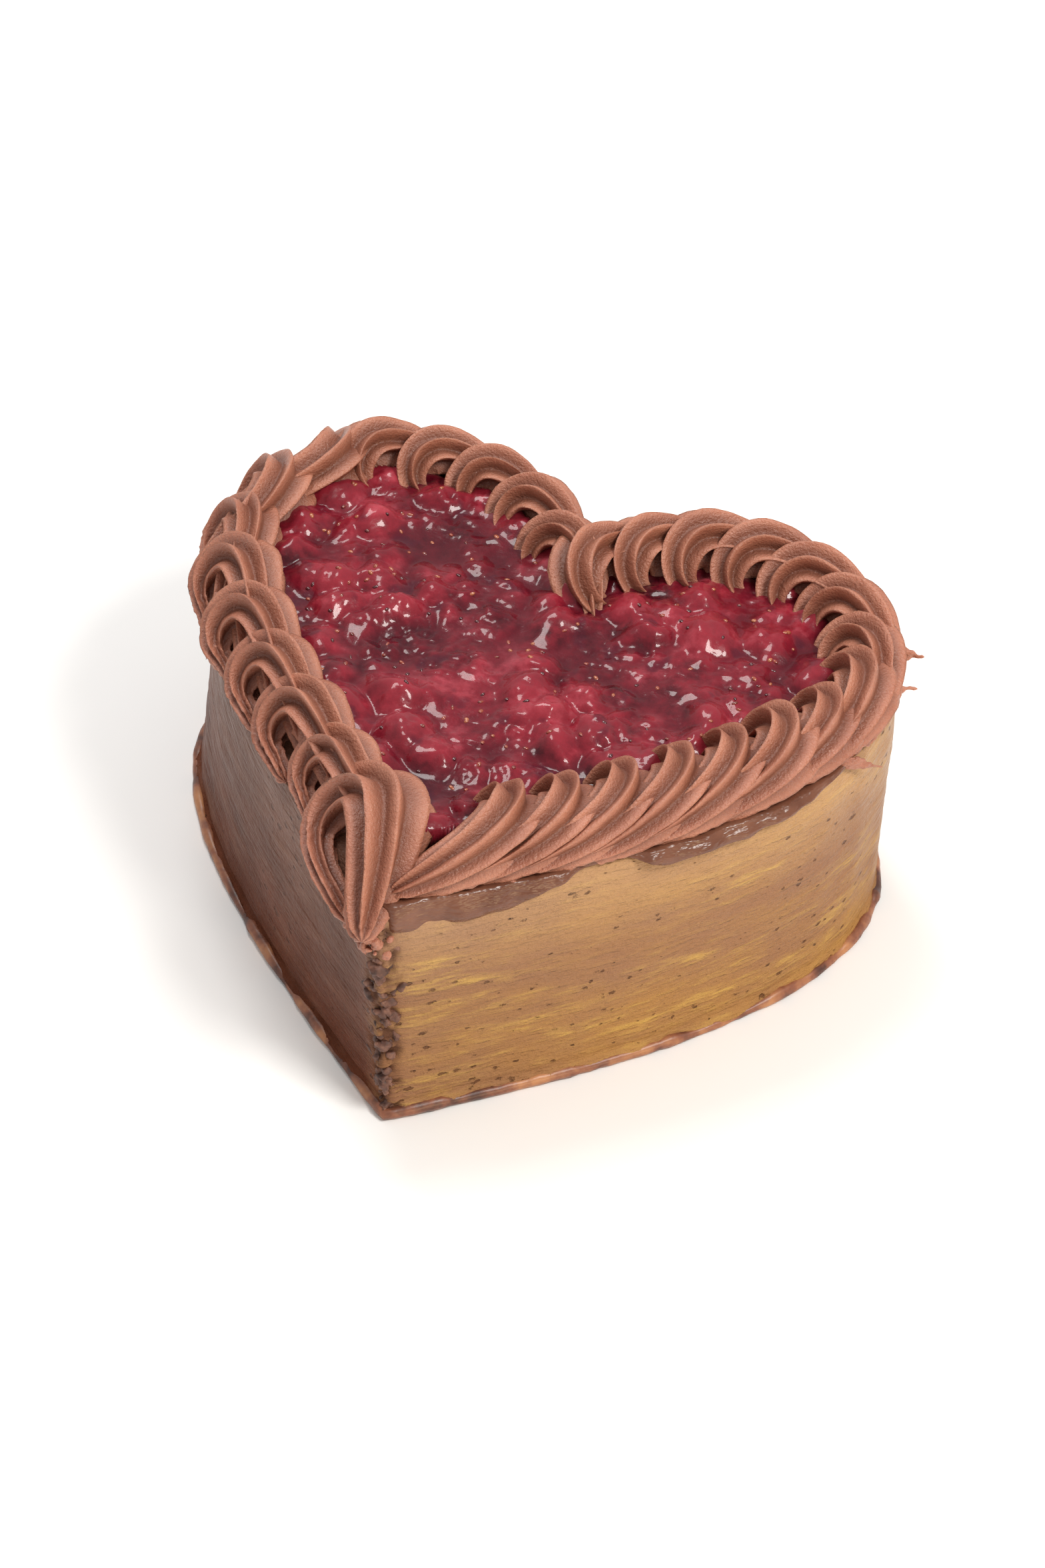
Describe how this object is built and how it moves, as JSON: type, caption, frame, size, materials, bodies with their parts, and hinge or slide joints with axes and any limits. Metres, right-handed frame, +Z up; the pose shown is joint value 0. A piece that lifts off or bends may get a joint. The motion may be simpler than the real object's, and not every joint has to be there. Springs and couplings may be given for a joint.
{
  "type": "heart shaped layer cake",
  "caption": "Heart-shaped cake under a chocolate ganache coat, with a berry compote pool on top inside a border of piped chocolate buttercream shells.",
  "frame": {"origin": "centre of the bounding box at the base, on the surface the cake stands on", "axes": "+Z up, the heart's tip towards -Y, its two lobes towards +Y, +X to the right when seen from the tip"},
  "size_m": [0.1864, 0.1684, 0.0909],
  "materials": {
    "ganache": "chocolate ganache coat, satin, with fine horizontal spatula strokes, pits and a torn crumb line down the tip",
    "compote": "dark red berry compote under a wet clear glaze, lumpy, with sharp highlights",
    "buttercream": "milk chocolate buttercream, satin, finely grained, with sharp star-nozzle ridges"
  },
  "bodies": {
    "root": {"ganache_cake": "ganache", "berry_compote": "compote", "shell_01": "buttercream", "shell_02": "buttercream", "shell_03": "buttercream", "shell_04": "buttercream", "shell_05": "buttercream", "shell_06": "buttercream", "shell_07": "buttercream", "shell_08": "buttercream", "shell_09": "buttercream", "shell_10": "buttercream", "shell_11": "buttercream", "shell_12": "buttercream", "shell_13": "buttercream", "shell_14": "buttercream", "shell_15": "buttercream", "shell_16": "buttercream", "shell_17": "buttercream", "shell_18": "buttercream", "shell_19": "buttercream", "shell_20": "buttercream", "shell_21": "buttercream", "shell_22": "buttercream", "shell_23": "buttercream", "shell_24": "buttercream", "shell_25": "buttercream", "shell_26": "buttercream", "shell_27": "buttercream", "shell_28": "buttercream", "shell_29": "buttercream"}
  },
  "joints": []
}
